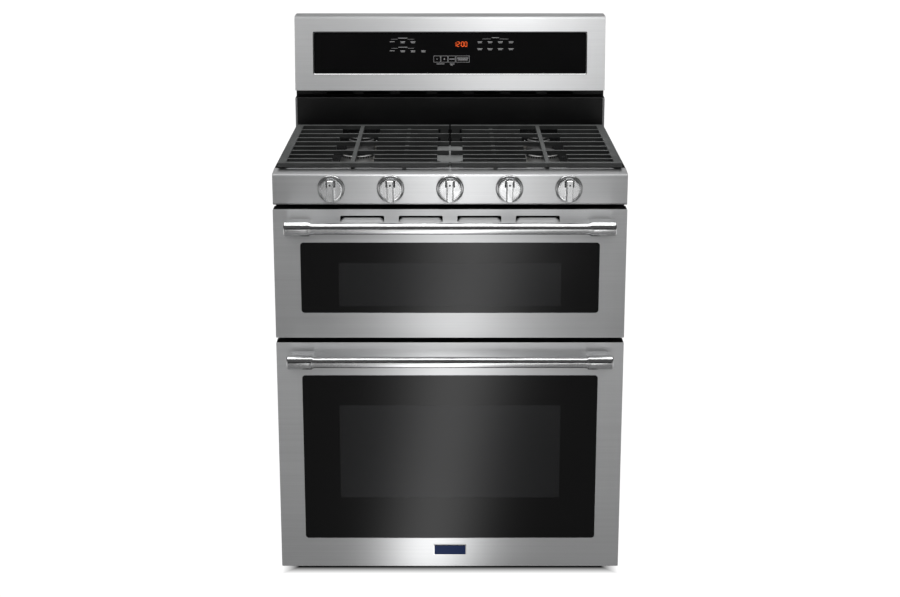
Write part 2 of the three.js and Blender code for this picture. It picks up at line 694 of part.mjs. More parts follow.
// ---- assembly ----
addBase();
addSidePanel('side_panel_left', -SIDE_X);
addSidePanel('side_panel_right', SIDE_X - SHEET);
addBackPanel();
addFaceFrame();
addOvenLiner('upper_oven_liner', upperOven);
addOvenLiner('lower_oven_liner', lowerOven);
addRack('upper_rack', upperOven.rackZ);
addRack('lower_rack', lowerOven.rackZ);
addPressedBurner('broil_burner', 160, 22, -130, 190, upperOven.ceiling - 14, 14, GALVANISED);
addPressedBurner('bake_burner', 180, 28, -140, 210, 100, 20, GALVANISED);
for (const door of [upperDoor, lowerDoor]) {
  addDoorSkin(door);
  addDoorGlass(door);
  addDoorLiner(door);
  addHandle(door);
  addHingeArm(door, 'left', -1);
  addHingeArm(door, 'right', 1);
}
addControlPanel();
addManifold();
KNOB_X.forEach((x, index) => addKnobSet(index, x));
addDeck();
burners.forEach(addBurner);
addOvalBurner();
addGrate('grate_left', -1);
addGrate('grate_right', 1);
addConsole();
addRiser();

export default range;
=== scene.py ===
import math

import bmesh
import bpy
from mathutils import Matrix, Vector


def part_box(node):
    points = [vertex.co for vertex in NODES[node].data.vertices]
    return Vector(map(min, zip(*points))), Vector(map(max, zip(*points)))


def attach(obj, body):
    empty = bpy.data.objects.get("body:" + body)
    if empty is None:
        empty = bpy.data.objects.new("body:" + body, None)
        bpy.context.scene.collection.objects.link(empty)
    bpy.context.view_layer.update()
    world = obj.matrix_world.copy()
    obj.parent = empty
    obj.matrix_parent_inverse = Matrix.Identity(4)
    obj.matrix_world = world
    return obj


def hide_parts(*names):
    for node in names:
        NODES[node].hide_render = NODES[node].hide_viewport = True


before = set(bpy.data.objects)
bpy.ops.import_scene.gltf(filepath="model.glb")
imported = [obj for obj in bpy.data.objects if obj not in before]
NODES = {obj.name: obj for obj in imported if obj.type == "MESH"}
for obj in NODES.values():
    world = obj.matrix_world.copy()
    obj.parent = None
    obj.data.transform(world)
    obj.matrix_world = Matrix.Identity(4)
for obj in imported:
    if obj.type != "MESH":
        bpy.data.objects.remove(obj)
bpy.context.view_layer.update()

# ---- dimensions shared with the CAD model ----
FACE = -0.304  # front face of both doors
DOOR_BACK = -0.256
FRAME_FRONT = -0.247  # front of the face frame
CAVITY_BACK = 0.25
CAVITY_HALF = 0.315
BACK_FACE = 0.3604  # outside of the back panel
CONSOLE_TILT = math.radians(6.5)
CONSOLE_ORIGIN = Vector((0.0, FACE + 0.584, 1.012))
CONSOLE_GLASS = {"half": 0.331, "low": 0.040, "high": 0.140, "out": -0.0006}
WELL_FLOOR = 0.899
CAP_Z = 0.919
# The axis (x, y) and radius of each round burner.
BURNERS = {
    "front_left": (-0.21, FACE + 0.250, 0.031),
    "rear_left": (-0.21, FACE + 0.442, 0.027),
    "front_right": (0.21, FACE + 0.250, 0.031),
    "rear_right": (0.21, FACE + 0.442, 0.024),
}
OVAL = {"y": FACE + 0.203, "half": 0.076, "radius": 0.031}
# For each door: its inner window and the middle of its outer glass, as (half width, low, high), then the
# door's own lower and upper edge.
DOORS = {
    "upper": {"tunnel": (0.243, 0.632, 0.742), "seen": (0.240, 0.627, 0.723), "low": 0.556, "high": 0.842},
    "lower": {"tunnel": (0.247, 0.183, 0.381), "seen": (0.2435, 0.183, 0.400), "low": 0.018, "high": 0.545},
}
OVENS = {
    "upper": {"floor": 0.612, "ceiling": 0.800},
    "lower": {"floor": 0.136, "ceiling": 0.490},
}
VENTS = {"x": (-0.1881, -0.0627, 0.0627, 0.1881), "half": 0.047, "low": 0.813, "high": 0.828}
GAS_INLET = {"x": 0.348, "z": 0.110, "radius": 0.0165}

# ---- dimensions of what the CAD model leaves to this script ----
KNOB_DISC = 0.0085  # thickness of a knob's disc, from which the grip rises
KNOB_RADIUS = 0.0255
GRIP_HALF = 0.0076  # half the width of a knob's grip
GRIP_LENGTH = 0.0250  # from the knob's axis to either end of its grip
PORT_HEIGHT = 0.0040
PORT_WIDTH = 0.0016
PORT_LOW = CAP_Z - 0.0078
HEAD_OUT = 0.003  # how far a burner head's wall stands out past its nominal radius
LIP_DEPTH = 0.0040  # how far a vent lip slopes inwards
LIP_RISE = 0.0096
GASKET_HALF = 0.0058
LAMP_X = 0.205
LAMP_BELOW_CEILING = 0.058
LAMP_RADIUS = 0.022
PRINT_THICKNESS = 0.0002
WORD_WIDTH = 0.0105  # usual length of a printed word
SMALL_WORD_WIDTH = 0.0085
LINE_STEP = 0.0026  # between two lines of one label
HAIRLINE = 0.0004
KEY_Z = 1.0875
KEY_HEIGHT = 0.0155
CLOCK_Z = 1.1230


# ---- materials ----
class Graph:
    """A new material and short calls for its nodes."""

    def __init__(self, name):
        self.material = bpy.data.materials.new(name)
        self.material.use_nodes = True
        self.tree = self.material.node_tree
        self.shader = self.tree.nodes["Principled BSDF"]
        self.output = self.tree.nodes["Material Output"]

    def add(self, kind, inputs=(), **settings):
        node = self.tree.nodes.new("ShaderNode" + kind)
        for key, value in settings.items():
            setattr(node, key, value)
        for key, value in dict(inputs).items():
            if isinstance(value, bpy.types.NodeSocket):
                self.tree.links.new(value, node.inputs[key])
            else:
                node.inputs[key].default_value = value
        return node

    def set(self, **values):
        for key, value in values.items():
            socket = self.shader.inputs[key.replace("_", " ")]
            if isinstance(value, bpy.types.NodeSocket):
                self.tree.links.new(value, socket)
            else:
                socket.default_value = value

    def place(self, scale=(1.0, 1.0, 1.0)):
        coords = self.add("TexCoord")
        return self.add("Mapping", {"Vector": coords.outputs["Object"], "Scale": scale}).outputs[0]

    def noise(self, scale, stretch=(1.0, 1.0, 1.0), detail=3.0, rough=0.55):
        inputs = {"Vector": self.place(stretch), "Scale": scale, "Detail": detail, "Roughness": rough}
        return self.add("TexNoise", inputs).outputs["Fac"]

    def spread(self, value, low, high, start=0.3, end=0.7):
        inputs = {"Value": value, "From Min": start, "From Max": end, "To Min": low, "To Max": high}
        return self.add("MapRange", inputs).outputs["Result"]

    def blend_colors(self, value, dark, light, start=0.3, end=0.7):
        factor = self.spread(value, 0.0, 1.0, start, end)
        mix = self.add("Mix", {0: factor, 6: (*dark, 1.0), 7: (*light, 1.0)}, data_type="RGBA")
        return mix.outputs[2]

    def relief(self, height, strength, distance=0.001):
        inputs = {"Height": height, "Strength": strength, "Distance": distance}
        return self.add("Bump", inputs).outputs["Normal"]

    def calc(self, operation, first, second=0.0):
        return self.add("Math", {0: first, 1: second}, operation=operation).outputs[0]

    def axis(self, name):
        coords = self.add("TexCoord").outputs["Object"]
        return self.add("SeparateXYZ", {"Vector": coords}).outputs[name]


def brushed_steel(name, dark, light, rough):
    """Sheet steel brushed from side to side, with soft cloudiness."""
    g = Graph(name)
    fine = (4.0, 900.0, 900.0)
    grain = g.noise(1.0, fine, 4.0, 0.6)
    broad = g.noise(1.0, tuple(v * 0.12 for v in fine), 2.0)
    cloud = g.noise(3.5, detail=2.0)
    mixed = g.calc("ADD", g.calc("MULTIPLY", grain, 0.6), g.calc("MULTIPLY", broad, 0.4))
    roughness = g.calc("ADD", g.spread(mixed, rough - 0.03, rough + 0.03), g.spread(cloud, -0.015, 0.02))
    tangent = g.add("Tangent", direction_type="RADIAL", axis="X")
    g.set(Base_Color=g.blend_colors(mixed, dark, light), Metallic=1.0, Roughness=roughness)
    g.set(Anisotropic=0.9, Tangent=tangent.outputs[0], Normal=g.relief(mixed, 0.03, 0.0003))
    return g.material


def polished_steel(name, color, rough, grain=(6.0, 500.0, 500.0), relief=0.02):
    """Plated or polished metal with fine streaks along its grain."""
    g = Graph(name)
    streak = g.noise(1.0, grain, 3.0)
    cloud = g.noise(14.0, detail=3.0)
    roughness = g.calc("ADD", g.spread(streak, rough - 0.03, rough + 0.04), g.spread(cloud, 0.0, 0.03))
    dark = tuple(c * 0.94 for c in color)
    g.set(Base_Color=g.blend_colors(cloud, dark, color), Metallic=1.0, Roughness=roughness)
    g.set(Normal=g.relief(streak, relief, 0.0002))
    return g.material


def enamel(name, color, rough=0.18, speckle=None):
    """Porcelain enamel: glossy glass over steel with slight orange peel, and specks in the oven kind."""
    g = Graph(name)
    peel = g.noise(220.0, detail=2.0)
    smear = g.noise(9.0, detail=4.0)
    base = g.blend_colors(smear, tuple(c * 0.8 for c in color), color)
    if speckle:
        cells = g.add("TexVoronoi", {"Vector": g.place(), "Scale": 520.0}, feature="F1")
        specks = g.add("MapRange", {"Value": cells.outputs["Distance"], "From Min": 0.16, "From Max": 0.1})
        mix = g.add("Mix", {0: specks.outputs[0], 6: base, 7: (*speckle, 1.0)}, data_type="RGBA")
        base = mix.outputs[2]
    g.set(Base_Color=base, Roughness=g.spread(smear, rough - 0.03, rough + 0.07), IOR=1.5)
    g.set(Coat_Weight=0.3, Coat_Roughness=0.08, Normal=g.relief(peel, 0.04, 0.0004))
    return g.material


def cast_iron(name, color, rough):
    """Sand-cast iron under satin enamel: pebbly, a little burnished and a little dusty."""
    g = Graph(name)
    sand = g.noise(650.0, detail=3.0, rough=0.7)
    patch = g.noise(28.0, detail=4.0)
    base = g.blend_colors(patch, tuple(c * 0.82 for c in color), tuple(c * 1.12 for c in color))
    g.set(Base_Color=base, Roughness=g.spread(patch, rough - 0.06, rough + 0.06), IOR=1.55)
    g.set(Normal=g.relief(sand, 0.22, 0.0005))
    return g.material


def painted(name, color, rough, grit=900.0, specular=0.5):
    """Baked paint with a fine texture and soft wear."""
    g = Graph(name)
    texture = g.noise(grit, detail=2.0)
    patch = g.noise(5.0, detail=4.0)
    base = g.blend_colors(patch, tuple(c * 0.88 for c in color), color)
    g.set(Base_Color=base, Roughness=g.spread(patch, rough - 0.05, rough + 0.06))
    g.set(Specular_IOR_Level=specular, Normal=g.relief(texture, 0.12, 0.0004))
    return g.material


def galvanised(name):
    """Zinc-coated sheet with its crystal pattern."""
    g = Graph(name)
    cells = g.add("TexVoronoi", {"Vector": g.place(), "Scale": 70.0, "Randomness": 1.0}, feature="F1")
    flake = g.add("SeparateColor", {"Color": cells.outputs["Color"]}).outputs["Red"]
    dull = g.noise(12.0, detail=4.0)
    g.set(Base_Color=g.blend_colors(flake, (0.36, 0.38, 0.4), (0.52, 0.54, 0.56), 0.0, 1.0), Metallic=0.85)
    g.set(Roughness=g.calc("ADD", g.spread(flake, 0.36, 0.48, 0.0, 1.0), g.spread(dull, 0.0, 0.1)))
    g.set(Normal=g.relief(flake, 0.03, 0.0005))
    return g.material


def cast_aluminium(name, color, rough):
    """Cast metal with fine pits and faint rings from heat."""
    g = Graph(name)
    pits = g.noise(900.0, detail=2.0)
    rings = g.noise(25.0, (1.0, 1.0, 60.0))
    g.set(Base_Color=g.blend_colors(rings, tuple(c * 0.85 for c in color), color), Metallic=1.0)
    g.set(Roughness=g.spread(rings, rough - 0.06, rough + 0.08), Normal=g.relief(pits, 0.1, 0.0004))
    return g.material


def window_glass(name, seen):
    """Tempered door glass: an opaque black printed border round a dark, faintly see-through middle, whose
    lighter colour is painted light standing in for the oven seen through it.
    """
    half, low, high = seen
    g = Graph(name)
    across = g.calc("SUBTRACT", g.calc("ABSOLUTE", g.axis("X")), half)
    offset = g.calc("SUBTRACT", g.axis("Z"), (low + high) / 2)
    rise = g.calc("SUBTRACT", g.calc("ABSOLUTE", offset), (high - low) / 2)
    border = g.spread(g.calc("MAXIMUM", across, rise), 0.0, 1.0, -0.0008, 0.0008)
    smear = g.noise(6.0, detail=5.0, rough=0.6)
    # The middle's lighter colour is painted light for the view into the oven; the border's black is print.
    g.set(Base_Color=g.blend_colors(border, (0.034, 0.0345, 0.036), (0.003, 0.003, 0.0032), 0.0, 1.0))
    g.set(Specular_IOR_Level=0.36)
    g.set(Roughness=g.spread(smear, 0.1, 0.13), IOR=1.5, Alpha=g.spread(border, 0.86, 1.0, 0.0, 1.0))
    return g.material


def pane_glass(name):
    """The heat-reflecting pane inside a door."""
    g = Graph(name)
    smear = g.noise(9.0, detail=5.0, rough=0.6)
    g.set(Base_Color=g.blend_colors(smear, (0.02, 0.021, 0.022), (0.03, 0.031, 0.033)), IOR=1.5)
    g.set(Roughness=g.spread(smear, 0.08, 0.16), Alpha=0.4)
    return g.material


def black_glass(name, rough=0.05):
    """Opaque black glass with a faint smear."""
    g = Graph(name)
    smear = g.noise(8.0, detail=5.0, rough=0.6)
    base = g.blend_colors(smear, (0.009, 0.009, 0.0094), (0.011, 0.011, 0.0115))
    g.set(Base_Color=base, IOR=1.5, Roughness=g.spread(smear, rough, rough + 0.05))
    return g.material


def ink(name, color, glow=0.0):
    """Printed ceramic ink, or a lit segment when it glows; a faint glow on plain print is painted light."""
    g = Graph(name)
    fade = g.noise(1500.0, detail=2.0)
    g.set(Base_Color=g.blend_colors(fade, tuple(c * 0.8 for c in color), color), Roughness=0.5)
    if glow:
        g.set(Emission_Color=(*color, 1.0), Emission_Strength=glow)
    return g.material


def rubber_like(name, color):
    """Matt stuff with a fine weave: door seals, dark marks, and dark sheets of painted shade in gaps and
    openings.
    """
    g = Graph(name)
    weave = g.noise(1200.0, detail=2.0)
    g.set(Base_Color=g.blend_colors(weave, tuple(c * 0.7 for c in color), color), Roughness=0.8)
    g.set(Normal=g.relief(weave, 0.5, 0.0006))
    return g.material


MATERIALS = {
    "stainless": brushed_steel("stainless", (0.57, 0.575, 0.58), (0.64, 0.645, 0.65), 0.36),
    "handle": polished_steel("handle_steel", (0.80, 0.805, 0.81), 0.19, relief=0.004),
    "knob": polished_steel("knob_chrome", (0.80, 0.805, 0.81), 0.22, (60.0, 500.0, 60.0)),
    "chrome": polished_steel("chrome", (0.78, 0.78, 0.79), 0.1, (200.0, 200.0, 200.0)),
    "zinc": polished_steel("zinc_plate", (0.5, 0.51, 0.52), 0.35, (60.0, 60.0, 60.0)),
    "burner_steel": polished_steel("burner_steel", (0.36, 0.35, 0.34), 0.42, (30.0, 30.0, 30.0)),
    "brass": polished_steel("brass", (0.6, 0.45, 0.22), 0.32, (60.0, 60.0, 60.0)),
    "aluminium": cast_aluminium("burner_aluminium", (0.55, 0.55, 0.54), 0.42),
    # A darker copy of the same cast aluminium for the rear burner heads: painted shade.
    "painted_shade_aluminium": cast_aluminium("burner_aluminium_painted_shade", (0.2, 0.2, 0.2), 0.48),
    "cooktop": enamel("cooktop_enamel", (0.012, 0.012, 0.0125), 0.2),
    "riser": enamel("riser_enamel", (0.012, 0.012, 0.0125), 0.34),
    "oven": enamel("oven_enamel", (0.014, 0.016, 0.021), 0.22, (0.16, 0.17, 0.2)),
    "grate": cast_iron("grate_iron", (0.075, 0.078, 0.077), 0.42),
    "cap": cast_iron("cap_iron", (0.03, 0.03, 0.03), 0.45),
    "oval_cap": cast_iron("oval_cap_iron", (0.16, 0.165, 0.163), 0.42),
    "paint": painted("side_paint", (0.022, 0.022, 0.023), 0.42),
    "leg": painted("leg_paint", (0.05, 0.05, 0.052), 0.45),
    "galvanised": galvanised("galvanised_sheet"),
    "control_glass": black_glass("control_glass"),
    "badge": painted("badge_enamel", (0.006, 0.024, 0.105), 0.4, 2500.0, 0.15),
    # The print's faint glow is painted light that brightens the ink.
    "print": ink("panel_print_painted_glow", (0.72, 0.72, 0.73), 0.22),
    "display": black_glass("display_window", 0.1),
    "digits": ink("display_digits", (1.0, 0.13, 0.02), 1.1),
    "gasket": rubber_like("door_gasket", (0.05, 0.05, 0.052)),
    # Dark marks, and also painted shade in the vent openings, door-top gaps and flame ports.
    "dark": rubber_like("dark_mark_and_painted_shade", (0.006, 0.006, 0.006)),
    "ceramic": enamel("igniter_ceramic", (0.62, 0.6, 0.56), 0.35),
    "pane": pane_glass("inner_pane"),
}
for side, door in DOORS.items():
    MATERIALS[side + "_window"] = window_glass(side + "_window_glass", door["seen"])


# ---- modifiers: softened edges and smooth shading ----
def smooth_group():
    """Geometry nodes that shade a mesh smooth and keep its edges above 35 degrees sharp."""
    group = bpy.data.node_groups.new("smooth_by_angle", "GeometryNodeTree")
    for direction in ("INPUT", "OUTPUT"):
        group.interface.new_socket("Geometry", in_out=direction, socket_type="NodeSocketGeometry")
    start = group.nodes.new("NodeGroupInput")
    end = group.nodes.new("NodeGroupOutput")
    angle = group.nodes.new("GeometryNodeInputMeshEdgeAngle")
    sharp = group.nodes.new("FunctionNodeCompare")
    sharp.data_type = "FLOAT"
    sharp.operation = "GREATER_THAN"
    sharp.inputs["B"].default_value = math.radians(35)
    faces = group.nodes.new("GeometryNodeSetShadeSmooth")
    edges = group.nodes.new("GeometryNodeSetShadeSmooth")
    edges.domain = "EDGE"
    edges.inputs["Shade Smooth"].default_value = False
    link = group.links.new
    link(start.outputs[0], faces.inputs["Geometry"])
    link(angle.outputs["Unsigned Angle"], sharp.inputs["A"])
    link(faces.outputs[0], edges.inputs["Geometry"])
    link(sharp.outputs[0], edges.inputs["Selection"])
    link(edges.outputs[0], end.inputs[0])
    return group


SMOOTH = smooth_group()


def shade(piece, width=0.0, segments=2):
    """Rounds the sharp edges of a piece to a width and shades it smooth between the sharp ones."""
    if width:
        bevel = piece.modifiers.new("edge", "BEVEL")
        bevel.width = width
        bevel.segments = segments
        bevel.limit_method = "ANGLE"
        bevel.angle_limit = math.radians(40)
        bevel.use_clamp_overlap = True
    smooth = piece.modifiers.new("smooth", "NODES")
    smooth.node_group = SMOOTH
    normals = piece.modifiers.new("normals", "WEIGHTED_NORMAL")
    normals.keep_sharp = True


def dress(node, material, width=0.0, segments=2):
    """Gives a CAD node its finish and soft edges with modifiers; its own mesh stays as it is."""
    piece = NODES[node]
    piece.data.materials.clear()
    piece.data.materials.append(MATERIALS[material])
    weld = piece.modifiers.new("weld", "WELD")
    weld.merge_threshold = 1e-6
    if width:
        flat = piece.modifiers.new("flat", "DECIMATE")
        flat.decimate_type = "DISSOLVE"
        flat.angle_limit = math.radians(0.5)
    shade(piece, width, segments)


for node in NODES:
    if node.startswith("leg_"):
        dress(node, "leg")
    elif "_hinge_" in node:
        dress(node, "zinc", 0.0006)
    elif node.startswith("valve_stem"):
        dress(node, "aluminium")
    elif node.startswith("knob_bezel"):
        dress(node, "knob", 0.001)
    elif node.startswith("burner_head"):
        # The rear heads take the darker copy of the aluminium, which is painted shade.
        dress(node, "painted_shade_aluminium" if "rear" in node else "aluminium")
    elif node == "burner_cap_centre":
        dress(node, "oval_cap", 0.001)
    elif node.startswith("burner_cap"):
        dress(node, "cap")
for node in ("base_frame", "back_panel"):
    dress(node, "galvanised")
for node in ("side_panel_left", "side_panel_right", "face_frame"):
    dress(node, "paint")
for side in ("upper", "lower"):
    dress(side + "_oven_liner", "oven")
    dress(side + "_rack", "chrome")
    dress(side + "_door_skin", "stainless", 0.0012, 3)
    dress(side + "_door_glass", side + "_window")
    dress(side + "_door_liner", "oven", 0.0008)
    dress(side + "_door_handle", "handle", 0.0025, 3)
for node in ("broil_burner", "bake_burner"):
    dress(node, "burner_steel")
for node in ("grate_left", "grate_right"):
    dress(node, "grate", 0.0018, 3)
dress("control_panel", "stainless", 0.002, 3)
dress("gas_manifold", "brass")
dress("cooktop_deck", "cooktop", 0.0015)
dress("console_housing", "stainless", 0.002, 3)
dress("console_riser", "riser", 0.0025, 3)
dress("control_glass", "control_glass", 0.0008)
for k in range(1, 6):
    dress(f"knob_{k}", "knob")


# ---- pieces that the CAD model doesn't have ----
class Shape:
    """A mesh put together from closed solids, then made into a piece that rides on a CAD body."""

    def __init__(self):
        self.bm = bmesh.new()

    def skin(self, rings, ends=True):
        """Joins closed rings of equally many points with quads, and caps the first and last ring."""
        rows = [[self.bm.verts.new(p) for p in ring] for ring in rings]
        count = len(rows[0])
        for low, high in zip(rows, rows[1:]):
            for i in range(count):
                j = (i + 1) % count
                self.bm.faces.new((low[i], low[j], high[j], high[i]))
        if ends:
            self.bm.faces.new(rows[0][::-1])
            self.bm.faces.new(rows[-1])

    def slab(self, low, high):
        """A box between two opposite corners."""
        (x0, y0, z0), (x1, y1, z1) = low, high
        ring = [(x0, y0), (x1, y0), (x1, y1), (x0, y1)]
        self.skin([[(x, y, z) for x, y in ring] for z in (z0, z1)])

    def turned(self, profile, place, towards, steps):
        """A profile of (radius, height) pairs turned about an axis through place that points towards."""
        x, y, z = place
        put = {
            "Z": lambda a, b, h: (x + a, y + b, z + h),
            "-Y": lambda a, b, h: (x + a, y - h, z + b),
            "+Y": lambda a, b, h: (x + a, y + h, z + b),
            "X": lambda a, b, h: (x + h, y + a, z + b),
            "-X": lambda a, b, h: (x - h, y + a, z + b),
        }[towards]
        angles = [2 * math.pi * i / steps for i in range(steps)]
        rings = [[put(r * math.cos(t), r * math.sin(t), h) for t in angles] for r, h in profile]
        self.skin(rings)

    def cord(self, points, half_width, half_depth, sides=12):
        """A flattened cord along a closed loop of points in an upright plane; its depth is along Y."""
        points = [Vector(p) for p in points]
        depth = Vector((0.0, half_depth, 0.0))
        turn = [2 * math.pi * k / sides for k in range(sides)]
        rings = []
        for i, p in enumerate(points):
            ahead = points[(i + 1) % len(points)] - points[i - 1]
            side = ahead.normalized().cross(Vector((0.0, 1.0, 0.0))) * half_width
            rings.append([p + side * math.cos(t) + depth * math.sin(t) for t in turn])
        rings.append(rings[0])
        self.skin(rings, ends=False)

    def make(self, name, material, body, width=0.0):
        """Turns the shape into a named piece that rides on a body."""
        bmesh.ops.remove_doubles(self.bm, verts=self.bm.verts, dist=1e-7)
        bmesh.ops.recalc_face_normals(self.bm, faces=self.bm.faces)
        mesh = bpy.data.meshes.new(name)
        self.bm.to_mesh(mesh)
        self.bm.free()
        mesh.materials.append(MATERIALS[material])
        piece = bpy.data.objects.new(name, mesh)
        bpy.context.scene.collection.objects.link(piece)
        shade(piece, width)
        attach(piece, body)
        return piece


def rounded_loop(x0, x1, z0, z1, radius, steps=6):
    """Points (x, z) round a rectangle with rounded corners."""
    corners = [(x1, z1, 0), (x0, z1, 1), (x0, z0, 2), (x1, z0, 3)]
    points = []
    for x, z, quarter in corners:
        cx = x - math.copysign(radius, x - (x0 + x1) / 2)
        cz = z - math.copysign(radius, z - (z0 + z1) / 2)
        for i in range(steps + 1):
            t = math.pi / 2 * (quarter + i / steps)
            points.append((cx + radius * math.cos(t), cz + radius * math.sin(t)))
    return points


def add_knob(k):
    """A turned disc with a tapered grip, two dark bars beside the grip's top and a pointer dot on it."""
    body = f"control_knob_{k}"
    low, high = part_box(f"knob_{k}")
    x, z = (low.x + high.x) / 2, (low.z + high.z) / 2
    back, front = high.y, low.y
    disc = Shape()
    face = KNOB_DISC
    edge = KNOB_RADIUS
    profile = [(0.001, 0.0), (edge - 0.0008, 0.0), (edge, 0.0008), (edge, face - 0.0016)]
    profile += [(edge - 0.0004, face - 0.0006), (edge - 0.0014, face), (edge - 0.0033, face)]
    profile += [(edge - 0.0037, face - 0.0004), (edge - 0.0043, face - 0.0004)]
    profile += [(edge - 0.0047, face), (0.001, face)]
    disc.turned(profile, (x, back, z), "-Y", 56)
    depth = back - front
    stations = [(face - 0.002, 1.0, 1.0), (face + 0.002, 1.0, 1.0), (depth - 0.006, 0.92, 0.97)]
    stations += [(depth - 0.0025, 0.88, 0.955), (depth - 0.0009, 0.81, 0.935), (depth, 0.68, 0.905)]
    across = [GRIP_HALF * math.sin(math.pi / 2 * (i / 7)) for i in range(-7, 8)]
    outline = [(a, math.sqrt(GRIP_LENGTH**2 - a * a)) for a in across]
    outline += [(a, -b) for a, b in reversed(outline)]
    rings = [[(x + a * wide, back - h, z + b * tall) for a, b in outline] for h, wide, tall in stations]
    disc.skin(rings)
    knob = disc.make(f"knob_{k}_grip", "knob", body)
    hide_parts(f"knob_{k}")
    marks = Shape()
    for sign in (-1, 1):
        x0, x1 = sorted((x + sign * 0.0078, x + sign * 0.0103))
        marks.slab((x0, back - face - 0.0003, z + 0.005), (x1, back - face + 0.0005, z + 0.0195))
    dot = [(0.0003, -0.0004), (0.0020, -0.0004), (0.0020, 0.0002), (0.0003, 0.0002)]
    marks.turned(dot, (x, front, z + 0.0135), "-Y", 16)
    marks.make(f"knob_{k}_marks", "dark", body)


def add_badge():
    """A plain enamelled plate in a bright frame at the foot of the lower door."""
    z = 0.0574
    half, tall = 0.0369, 0.0124

    def loop_inside(gap, radius):
        return rounded_loop(gap - half, half - gap, z - tall + gap, z + tall - gap, radius, 3)

    border = Shape()
    outer = loop_inside(0.0, 0.0012)
    inner = loop_inside(0.0017, 0.0008)
    front = ((outer, FACE - 0.0012), (inner, FACE - 0.0016))
    rings = [[(a, y, b) for a, b in loop] for loop, y in
             ((outer, FACE), *front, (inner, FACE), (outer, FACE))]
    border.skin(rings, ends=False)
    border.make("badge_frame", "chrome", "lower_door")
    plate = Shape()
    loop = loop_inside(0.0019, 0.0008)
    plate.skin([[(a, y, b) for a, b in loop] for y in (FACE, FACE - 0.0010)])
    plate.make("badge_plate", "badge", "lower_door")


def add_vent_lips():
    """The pressed louvre lip that slopes inwards from the lower edge of each door vent."""
    half = VENTS["half"]
    low = VENTS["low"]
    for index, x in enumerate(VENTS["x"]):
        lip = Shape()
        steps = 28
        front = []
        back = []
        for i in range(steps + 1):
            u = -1 + 2 * i / steps
            rise = 1 - 0.6 * (max(0.0, abs(u) - 0.8) / 0.2) ** 2.2  # lower towards both ends
            a = x + u * (half - 0.0004)
            ramp = [(a, FACE + 0.0002 + LIP_DEPTH * t, low + 0.0002 + LIP_RISE * rise * t**0.8)
                    for t in (0.0, 0.12, 0.25, 0.5, 0.75, 1.0)]
            front.append(ramp)
            back.append([(p[0], p[1] + 0.0008, p[2] - 0.0001) for p in reversed(ramp)])
        lip.skin([f + b for f, b in zip(front, back)])
        lip.make(f"vent_lip_{index + 1}", "stainless", "upper_door")
    # A dark sheet behind the vent slits: painted shade that makes the openings read black.
    tray = Shape()
    tray.slab((-0.245, FACE + 0.0115, low - 0.004), (0.245, FACE + 0.0123, VENTS["high"] + 0.004))
    tray.make("vent_painted_shade", "dark", "upper_door")


def add_door_trim(side):
    """A black strip on the top flange of a door, painted shade that keeps the gap above the door dark, and
    a collar where each handle casting meets the bar.
    """
    door = DOORS[side]
    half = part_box(side + "_door_skin")[1].x - 0.0012
    # The black strip is painted shade in the gap over the door.
    strip = Shape()
    strip.slab((-half, FACE + 0.0012, door["high"]), (half, FACE + 0.035, door["high"] + 0.0004))
    strip.make(side + "_door_top_painted_shade", "dark", side + "_door")
    low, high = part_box(side + "_door_handle")
    middle = (low.y + 0.0155, (low.z + high.z) / 2)
    profile = [(0.0118, 0.0), (0.0146, 0.0), (0.0155, 0.0009), (0.0155, 0.0068)]
    profile += [(0.015, 0.0073), (0.0118, 0.0073)]
    for name, sign in (("left", -1), ("right", 1)):
        collar = Shape()
        collar.turned(profile, (sign * 0.2975, *middle), "X" if sign > 0 else "-X", 48)
        collar.make(f"{side}_handle_collar_{name}", "handle", side + "_door")


def add_gasket(side):
    """The seal round an oven's mouth."""
    oven = OVENS[side]
    half = CAVITY_HALF + 0.009
    loop = rounded_loop(-half, half, oven["floor"] - 0.009, oven["ceiling"] + 0.009, 0.028, 8)
    seal = Shape()
    points = [(x, FRAME_FRONT - 0.0040, z) for x, z in loop]
    seal.cord(points, GASKET_HALF, GASKET_HALF * 0.66)
    seal.make(side + "_oven_gasket", "gasket", "cabinet")


def add_inner_pane(side):
    """The pane on the oven side of a door, and the frame that holds it."""
    half, low, high = DOORS[side]["tunnel"]
    pane = Shape()
    loop = rounded_loop(0.0003 - half, half - 0.0003, low + 0.0003, high - 0.0003, 0.0057, 5)
    pane.skin([[(x, y, z) for x, z in loop] for y in (DOOR_BACK - 0.0075, DOOR_BACK - 0.0035)])
    pane.make(side + "_door_inner_pane", "pane", side + "_door")
    trim = Shape()
    outer = rounded_loop(-half - 0.004, half + 0.004, low - 0.004, high + 0.004, 0.009, 5)
    inner = rounded_loop(-half + 0.003, half - 0.003, low + 0.003, high - 0.003, 0.004, 5)
    back = DOOR_BACK
    rings = [[(x, y, z) for x, z in loop] for loop, y in
             ((outer, back), (outer, back + 0.0009), (inner, back + 0.0009), (inner, back), (outer, back))]
    trim.skin(rings, ends=False)
    trim.make(side + "_door_pane_frame", "oven", side + "_door")


def screw(shape, place, towards, radius=0.004, height=0.0022):
    """A hexagon head on a washer flange."""
    flange = height * 0.3
    inner = radius * 0.2
    washer = [(inner, 0.0), (radius * 1.25, 0.0), (radius * 1.25, flange), (inner, flange)]
    shape.turned(washer, place, towards, 20)
    head = [(inner, flange), (radius, flange), (radius, height * 0.85), (radius * 0.86, height)]
    shape.turned([*head, (inner, height)], place, towards, 6)


